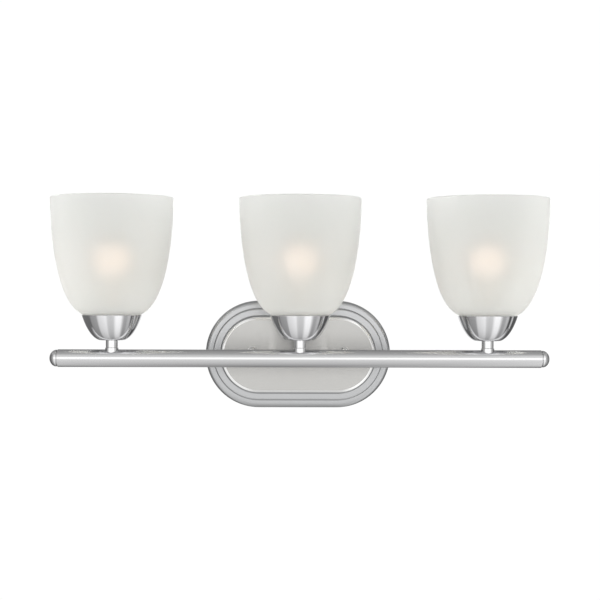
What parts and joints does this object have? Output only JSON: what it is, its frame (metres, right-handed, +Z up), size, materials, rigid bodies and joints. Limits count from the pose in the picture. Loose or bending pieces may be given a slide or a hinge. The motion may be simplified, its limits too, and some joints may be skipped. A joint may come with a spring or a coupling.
{
  "type": "vanity light bar",
  "caption": "Wall light with a horizontal round bar on a stepped racetrack plate, carrying upright frosted glass bell shades in metal cups.",
  "frame": {"origin": "centre of the wall plate on the wall plane, on the mounting strap's rear face", "axes": "+X along the bar to the viewer's right, -Y out of the wall to the viewer, +Z up"},
  "size_m": [0.547, 0.1671, 0.2381],
  "materials": {
    "satin_nickel": "satin nickel plate, brushed",
    "bright_nickel": "polished nickel plate",
    "zinc_steel": "zinc plated",
    "brass": "rolled brass",
    "copper": "bare copper",
    "earth_green": "green passivated steel",
    "porcelain": "glazed porcelain",
    "fibre": "vulcanised fibre",
    "lead_sleeve": "woven glass sleeve",
    "connector_plastic": "moulded",
    "frosted_glass": "frosted opal",
    "lamp_glass": "frosted lamp bulb"
  },
  "bodies": {
    "fixture": {"arm_bar_nut_left": "zinc_steel", "arm_bar_nut_right": "zinc_steel", "arm_left": "satin_nickel", "arm_plate_nut_left": "zinc_steel", "arm_plate_nut_right": "zinc_steel", "arm_right": "satin_nickel", "backplate": "satin_nickel", "bar_tube": "satin_nickel", "cup_center": "satin_nickel", "cup_left": "satin_nickel", "cup_locknut_center": "zinc_steel", "cup_locknut_left": "zinc_steel", "cup_locknut_right": "zinc_steel", "cup_right": "satin_nickel", "end_cap_left": "satin_nickel", "end_cap_right": "satin_nickel", "ground_screw": "earth_green", "ground_wire": "copper", "lead_center": "lead_sleeve", "lead_left": "lead_sleeve", "lead_right": "lead_sleeve", "mounting_strap": "zinc_steel", "mounting_stud_left": "zinc_steel", "mounting_stud_right": "zinc_steel", "shade_center": "frosted_glass", "shade_left": "frosted_glass", "shade_right": "frosted_glass", "socket_body_center": "porcelain", "socket_body_left": "porcelain", "socket_body_right": "porcelain", "socket_contact_center": "brass", "socket_contact_left": "brass", "socket_contact_right": "brass", "socket_shell_center": "brass", "socket_shell_left": "brass", "socket_shell_right": "brass", "stem_bar_nut_center": "zinc_steel", "stem_bar_nut_left": "zinc_steel", "stem_bar_nut_right": "zinc_steel", "stem_center": "bright_nickel", "stem_left": "bright_nickel", "stem_right": "bright_nickel", "wire_connector_line": "connector_plastic", "wire_connector_neutral": "connector_plastic"},
    "gasket_left": {"ring_gasket_left": "fibre"},
    "ring_left": {"retaining_ring_left": "zinc_steel"},
    "globe_left": {"lamp_globe_left": "lamp_glass"},
    "cap_left": {"lamp_cap_left": "brass"},
    "gasket_center": {"ring_gasket_center": "fibre"},
    "ring_center": {"retaining_ring_center": "zinc_steel"},
    "globe_center": {"lamp_globe_center": "lamp_glass"},
    "cap_center": {"lamp_cap_center": "brass"},
    "gasket_right": {"ring_gasket_right": "fibre"},
    "ring_right": {"retaining_ring_right": "zinc_steel"},
    "globe_right": {"lamp_globe_right": "lamp_glass"},
    "cap_right": {"lamp_cap_right": "brass"},
    "washer_left": {"nut_washer_left": "fibre"},
    "nut_left": {"cap_nut_left": "bright_nickel"},
    "washer_right": {"nut_washer_right": "fibre"},
    "nut_right": {"cap_nut_right": "bright_nickel"}
  },
  "joints": [
    {"name": "lamp_lift_left", "type": "slide", "parent": "fixture", "child": "globe_left", "axis": [0, 0, 1], "range_m": [0, 0.0127]},
    {"name": "lamp_turn_left", "type": "hinge", "parent": "globe_left", "child": "cap_left", "pos_m": [-0.2056, -0.1, 0.045], "axis": [0, 0, 1], "range_deg": [0, 1260]},
    {"name": "ring_lift_left", "type": "slide", "parent": "fixture", "child": "gasket_left", "axis": [0, 0, 1], "range_m": [0, 0.006]},
    {"name": "ring_turn_left", "type": "hinge", "parent": "gasket_left", "child": "ring_left", "pos_m": [-0.2056, -0.1, 0.054], "axis": [0, 0, 1], "range_deg": [0, 1080]},
    {"name": "lamp_lift_center", "type": "slide", "parent": "fixture", "child": "globe_center", "axis": [0, 0, 1], "range_m": [0, 0.0127]},
    {"name": "lamp_turn_center", "type": "hinge", "parent": "globe_center", "child": "cap_center", "pos_m": [0, -0.1, 0.045], "axis": [0, 0, 1], "range_deg": [0, 1260]},
    {"name": "ring_lift_center", "type": "slide", "parent": "fixture", "child": "gasket_center", "axis": [0, 0, 1], "range_m": [0, 0.006]},
    {"name": "ring_turn_center", "type": "hinge", "parent": "gasket_center", "child": "ring_center", "pos_m": [0, -0.1, 0.054], "axis": [0, 0, 1], "range_deg": [0, 1080]},
    {"name": "lamp_lift_right", "type": "slide", "parent": "fixture", "child": "globe_right", "axis": [0, 0, 1], "range_m": [0, 0.0127]},
    {"name": "lamp_turn_right", "type": "hinge", "parent": "globe_right", "child": "cap_right", "pos_m": [0.2056, -0.1, 0.045], "axis": [0, 0, 1], "range_deg": [0, 1260]},
    {"name": "ring_lift_right", "type": "slide", "parent": "fixture", "child": "gasket_right", "axis": [0, 0, 1], "range_m": [0, 0.006]},
    {"name": "ring_turn_right", "type": "hinge", "parent": "gasket_right", "child": "ring_right", "pos_m": [0.2056, -0.1, 0.054], "axis": [0, 0, 1], "range_deg": [0, 1080]},
    {"name": "nut_travel_left", "type": "slide", "parent": "fixture", "child": "washer_left", "axis": [0, -1, 0], "range_m": [0, 0.00476]},
    {"name": "nut_turn_left", "type": "hinge", "parent": "washer_left", "child": "nut_left", "pos_m": [-0.0532, -0.027, 0.0042], "axis": [0, -1, 0], "range_deg": [0, 2160]},
    {"name": "nut_travel_right", "type": "slide", "parent": "fixture", "child": "washer_right", "axis": [0, -1, 0], "range_m": [0, 0.00476]},
    {"name": "nut_turn_right", "type": "hinge", "parent": "washer_right", "child": "nut_right", "pos_m": [0.0532, -0.027, 0.0042], "axis": [0, -1, 0], "range_deg": [0, 2160]}
  ],
  "couplings": [
    {"joint": "lamp_turn_left", "follows": "lamp_lift_left", "rad_per_m": 1731.4},
    {"joint": "ring_turn_left", "follows": "ring_lift_left", "rad_per_m": 3141.6},
    {"joint": "lamp_turn_center", "follows": "lamp_lift_center", "rad_per_m": 1731.4},
    {"joint": "ring_turn_center", "follows": "ring_lift_center", "rad_per_m": 3141.6},
    {"joint": "lamp_turn_right", "follows": "lamp_lift_right", "rad_per_m": 1731.4},
    {"joint": "ring_turn_right", "follows": "ring_lift_right", "rad_per_m": 3141.6},
    {"joint": "nut_turn_left", "follows": "nut_travel_left", "rad_per_m": 7915.8},
    {"joint": "nut_turn_right", "follows": "nut_travel_right", "rad_per_m": 7915.8}
  ]
}
